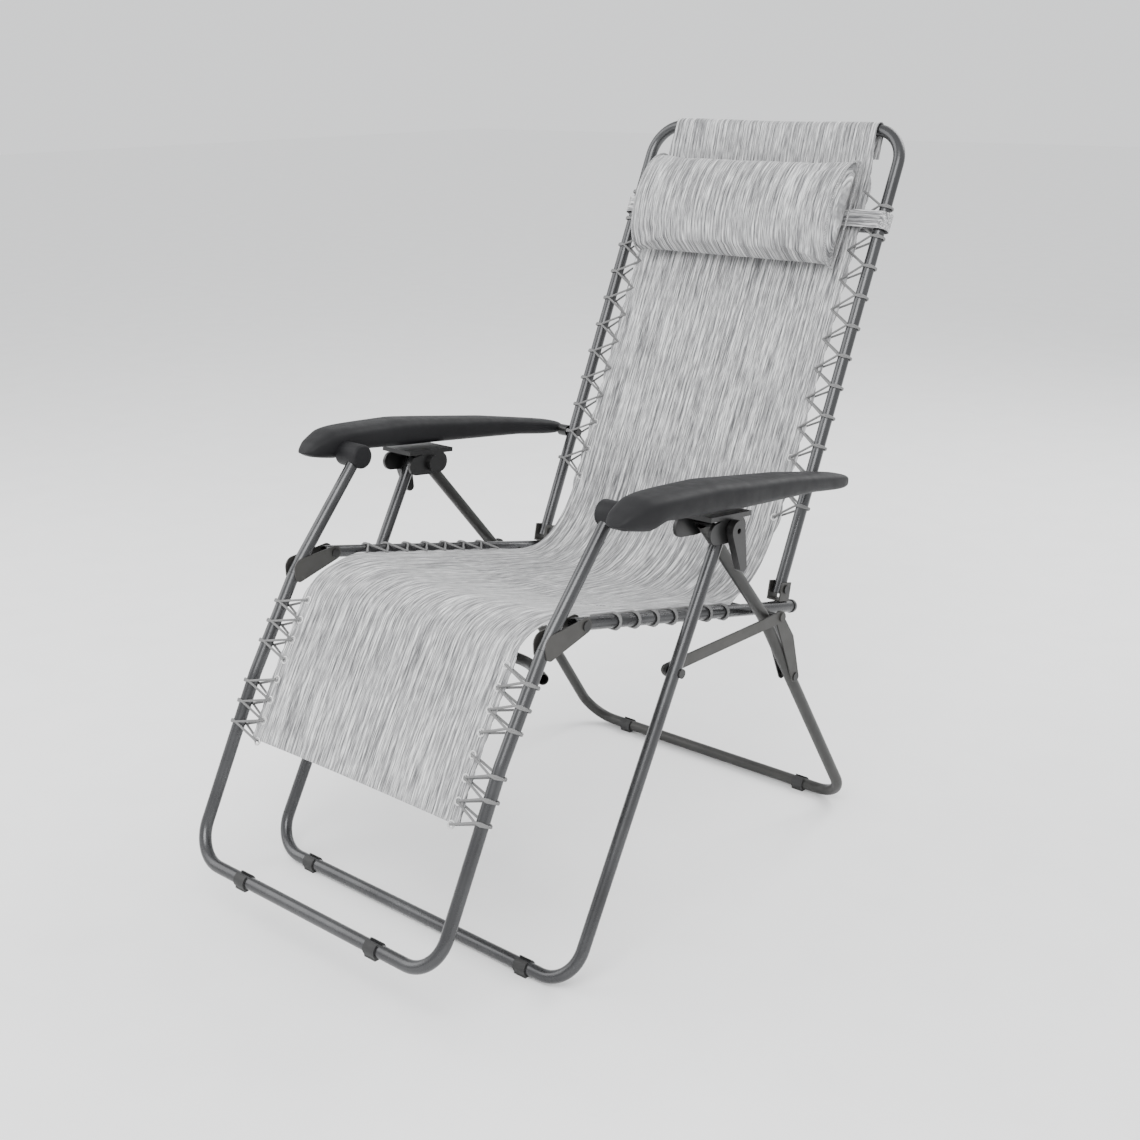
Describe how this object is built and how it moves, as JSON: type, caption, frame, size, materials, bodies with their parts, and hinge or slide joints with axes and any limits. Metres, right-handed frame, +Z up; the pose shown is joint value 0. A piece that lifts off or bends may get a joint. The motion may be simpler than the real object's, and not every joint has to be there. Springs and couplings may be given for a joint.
{
  "type": "zero gravity recliner",
  "caption": "Folding reclining lounge chair: bent steel tube frames, laced fabric sling from headrest to calves, moulded armrests with lever locks and a strapped head pillow",
  "frame": {"origin": "on the floor under the middle of the chair's bounding box, chair upright and unfolded", "axes": "+Z up, the sitter faces -Y, +X is the sitter's left"},
  "size_m": [0.704, 1.121, 1.1255],
  "materials": {
    "tube_steel": "powder coated dark gunmetal, semi-gloss",
    "plate_steel": "powder coated dark grey, satin",
    "fixings": "blackened steel",
    "black_plastic": "moulded plastic, satin",
    "armrest_plastic": "moulded plastic, fine grain",
    "black_rubber": "matte",
    "sling_fabric": "woven synthetic, light grey streaked",
    "elastic": "braided elastic cord"
  },
  "bodies": {
    "front_legs": {"front_leg_frame": "tube_steel", "front_leg_foot_clips": "black_rubber", "hub_bolts": "fixings", "link_pivot_bolts": "fixings", "link_spacers": "black_plastic"},
    "rear_legs": {"rear_leg_frame": "tube_steel", "rear_leg_foot_clips": "black_rubber", "leaf_pivot_bolts": "fixings"},
    "fold_links": {"left_fold_link": "plate_steel", "right_fold_link": "plate_steel"},
    "leaf_plates": {"left_outer_leaf_plate": "plate_steel", "left_inner_leaf_plate": "plate_steel", "right_outer_leaf_plate": "plate_steel", "right_inner_leaf_plate": "plate_steel", "leaf_bolts": "fixings"},
    "lock_housings": {"left_lock_housing": "black_plastic", "right_lock_housing": "black_plastic"},
    "left_lever": {"left_lock_lever": "black_plastic"},
    "right_lever": {"right_lock_lever": "black_plastic"},
    "seat": {"left_seat_rail": "tube_steel", "right_seat_rail": "tube_steel", "rail_end_caps": "black_rubber", "seat_pivot_pins": "fixings", "knee_rivets": "fixings", "back_clevises": "plate_steel", "back_pivot_pins": "fixings", "rear_crossbar": "tube_steel", "seat_sling": "sling_fabric", "left_seat_lacing": "elastic", "right_seat_lacing": "elastic"},
    "footrest": {"left_footrest_upper_tube": "tube_steel", "right_footrest_upper_tube": "tube_steel", "footrest_frame": "tube_steel", "knee_gussets": "plate_steel", "calf_bar": "tube_steel", "footrest_bar_clips": "black_rubber", "footrest_sling": "sling_fabric", "left_footrest_lacing": "elastic", "right_footrest_lacing": "elastic"},
    "back": {"back_frame": "tube_steel", "armrest_bolts": "fixings", "armrest_spacers": "black_plastic", "back_sling": "sling_fabric", "sling_sleeve": "sling_fabric", "left_back_lacing": "elastic", "right_back_lacing": "elastic"},
    "armrests": {"left_armrest": "armrest_plastic", "right_armrest": "armrest_plastic", "armrest_front_pins": "fixings"},
    "pillow": {"head_pillow": "sling_fabric", "pillow_strap": "elastic"}
  },
  "joints": [
    {"name": "recline", "type": "hinge", "parent": "seat", "child": "back", "pos_m": [0, 0.228, 0.428], "axis": [-1, 0, 0], "range_deg": [0, 25.78]},
    {"name": "seat_tilt", "type": "hinge", "parent": "front_legs", "child": "seat", "pos_m": [0, 0.1585, 0.41], "axis": [-1, 0, 0], "range_deg": [0, 12.68]},
    {"name": "footrest_swing", "type": "hinge", "parent": "seat", "child": "footrest", "pos_m": [0, -0.2575, 0.504], "axis": [-1, 0, 0], "range_deg": [0, 31.82]},
    {"name": "armrest_swing", "type": "hinge", "parent": "back", "child": "armrests", "pos_m": [0, 0.305, 0.594], "axis": [-1, 0, 0], "range_deg": [-26.38, 0]},
    {"name": "lock_tilt", "type": "hinge", "parent": "front_legs", "child": "lock_housings", "pos_m": [0, -0.0235, 0.598], "axis": [-1, 0, 0], "range_deg": [0, 12.13]},
    {"name": "leg_fold", "type": "hinge", "parent": "front_legs", "child": "rear_legs", "pos_m": [0, -0.0235, 0.598], "axis": [-1, 0, 0], "range_deg": [0, 58]},
    {"name": "link_swing", "type": "hinge", "parent": "front_legs", "child": "fold_links", "pos_m": [0, -0.1255, 0.41], "axis": [-1, 0, 0], "range_deg": [0, 85.16]},
    {"name": "leaf_swing", "type": "hinge", "parent": "rear_legs", "child": "leaf_plates", "pos_m": [0, 0.2095, 0.295], "axis": [-1, 0, 0], "range_deg": [0, 119.69]},
    {"name": "left_lever_swing", "type": "hinge", "parent": "lock_housings", "child": "left_lever", "pos_m": [0, -0.0235, 0.598], "axis": [1, 0, 0], "range_deg": [0, 80]},
    {"name": "right_lever_swing", "type": "hinge", "parent": "lock_housings", "child": "right_lever", "pos_m": [0, -0.0235, 0.598], "axis": [1, 0, 0], "range_deg": [0, 80]},
    {"name": "pillow_slide", "type": "slide", "parent": "back", "child": "pillow", "axis": [0, 0.4232, 0.906], "range_m": [-0.2, 0.03]}
  ],
  "couplings": [
    {"joint": "seat_tilt", "follows": "recline", "ratio": 0.4899},
    {"joint": "footrest_swing", "follows": "recline", "ratio": 1.2324},
    {"joint": "armrest_swing", "follows": "recline", "ratio": -1.0214},
    {"joint": "lock_tilt", "follows": "recline", "ratio": 0.4685},
    {"joint": "link_swing", "follows": "leg_fold", "ratio": 1.4675},
    {"joint": "leaf_swing", "follows": "leg_fold", "ratio": 2.0628}
  ]
}
